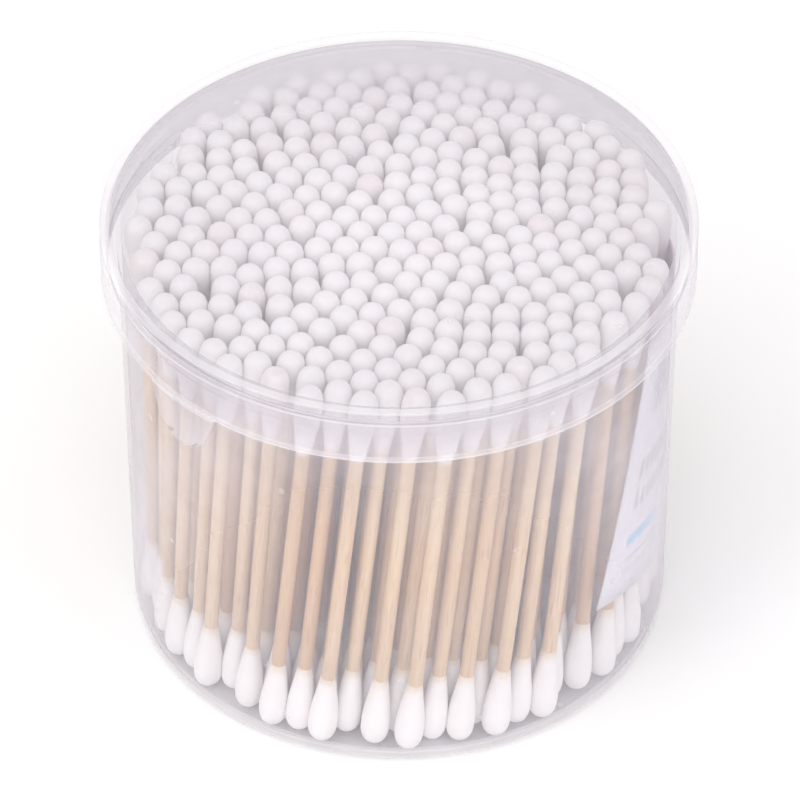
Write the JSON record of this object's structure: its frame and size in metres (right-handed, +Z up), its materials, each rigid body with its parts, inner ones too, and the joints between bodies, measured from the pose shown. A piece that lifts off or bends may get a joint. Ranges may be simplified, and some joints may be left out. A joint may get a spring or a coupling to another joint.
{
  "type": "cotton swab tub",
  "caption": "Round snap-lid tub of clear frosted plastic, filled with wooden cotton swabs that stand upright, with a printed card inside the wall.",
  "frame": {"origin": "centre of the tub's foot ring, on the plane it stands on", "axes": "+Z up along the tub's axis, towards the lid; -Y is the front; the thumb tab is at the front left (-X, -Y)"},
  "size_m": [0.094, 0.094, 0.0777],
  "materials": {
    "frosted_plastic": "frosted, translucent",
    "printed_card": "smooth printed card",
    "stick_wood": "plain birch",
    "cotton": "wound cotton"
  },
  "bodies": {
    "tub": {"card": "printed_card", "lower_buds_ring_01": "cotton", "lower_buds_ring_02": "cotton", "lower_buds_ring_03": "cotton", "lower_buds_ring_04": "cotton", "lower_buds_ring_05": "cotton", "lower_buds_ring_06": "cotton", "lower_buds_ring_07": "cotton", "lower_buds_ring_08": "cotton", "lower_buds_ring_09": "cotton", "lower_buds_ring_10": "cotton", "sticks_ring_01": "stick_wood", "sticks_ring_02": "stick_wood", "sticks_ring_03": "stick_wood", "sticks_ring_04": "stick_wood", "sticks_ring_05": "stick_wood", "sticks_ring_06": "stick_wood", "sticks_ring_07": "stick_wood", "sticks_ring_08": "stick_wood", "sticks_ring_09": "stick_wood", "sticks_ring_10": "stick_wood", "tub": "frosted_plastic", "upper_buds_ring_01": "cotton", "upper_buds_ring_02": "cotton", "upper_buds_ring_03": "cotton", "upper_buds_ring_04": "cotton", "upper_buds_ring_05": "cotton", "upper_buds_ring_06": "cotton", "upper_buds_ring_07": "cotton", "upper_buds_ring_08": "cotton", "upper_buds_ring_09": "cotton", "upper_buds_ring_10": "cotton"},
    "lid": {"lid": "frosted_plastic"}
  },
  "joints": [
    {"name": "lid_lift", "type": "slide", "parent": "tub", "child": "lid", "axis": [0, 0, 1], "range_m": [0, 0.03]}
  ]
}
